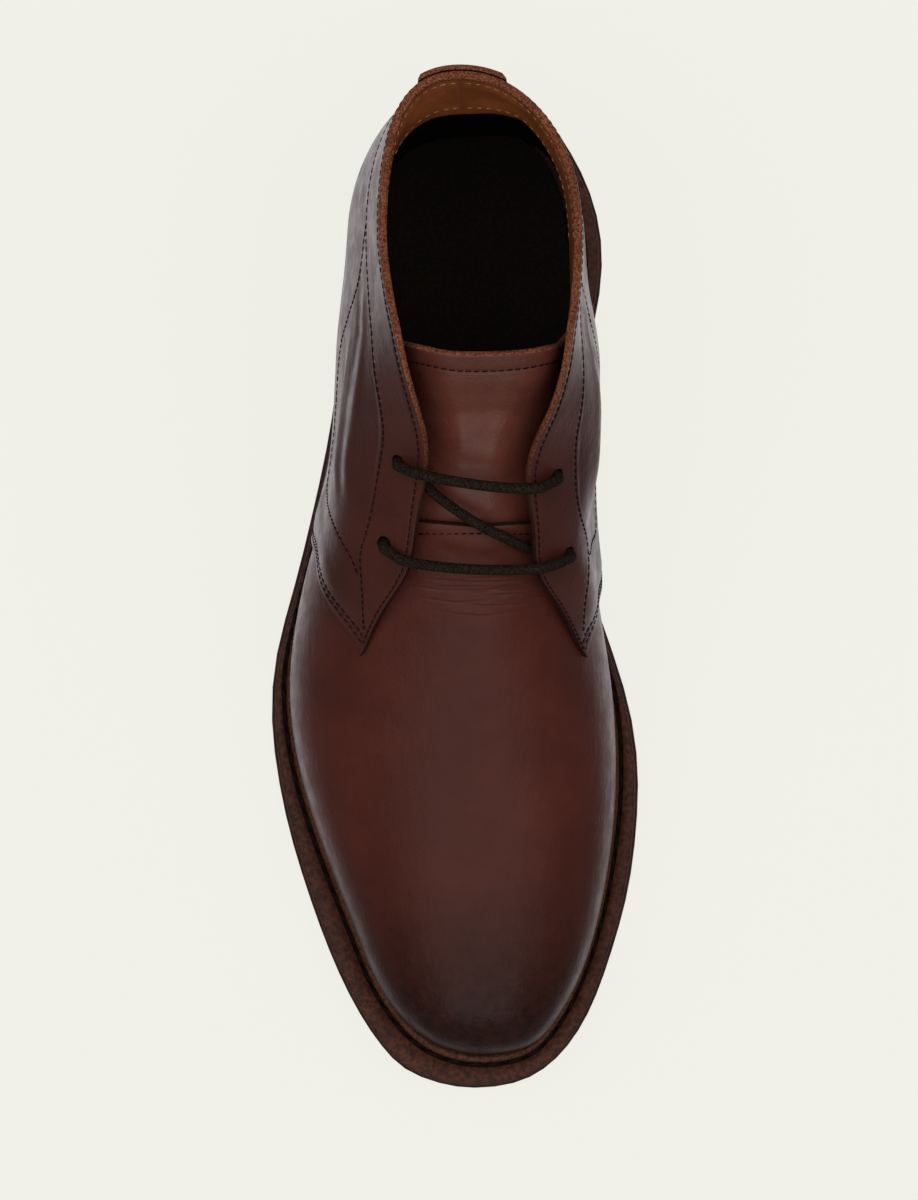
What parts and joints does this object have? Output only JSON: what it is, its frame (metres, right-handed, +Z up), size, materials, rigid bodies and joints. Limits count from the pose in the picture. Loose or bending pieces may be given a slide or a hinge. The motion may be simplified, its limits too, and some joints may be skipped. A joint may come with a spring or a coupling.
{
  "type": "chukka boot",
  "caption": "Ankle-high leather chukka boot with a laced front, storm welt, full outsole and stacked heel, hollow and open at the collar.",
  "frame": {"origin": "on the floor under the middle of the sole's bounding box", "axes": "+Z up, -Y to the toe and +Y to the heel, +X to the inner (medial) side of a right foot"},
  "size_m": [0.1102, 0.3, 0.1237],
  "materials": {
    "upper_leather": "dark red-brown full-grain, waxed",
    "backstay_leather": "dark red-brown full-grain, waxed",
    "tongue_leather": "dark red-brown full-grain, waxed",
    "insole_leather": "tan, smooth",
    "welt_leather": "dark brown, dressed edge",
    "rubber_outsole": "dark brown, matt",
    "stacked_leather": "dark brown, dressed edge",
    "rubber_top_piece": "near black, matt",
    "waxed_lace": "round waxed cord, near black"
  },
  "bodies": {
    "root": {"upper": "upper_leather", "backstay": "backstay_leather", "tongue": "tongue_leather", "insole": "insole_leather", "welt": "welt_leather", "outsole": "rubber_outsole", "heel_stack": "stacked_leather", "heel_top_piece": "rubber_top_piece", "lace": "waxed_lace"}
  },
  "joints": []
}
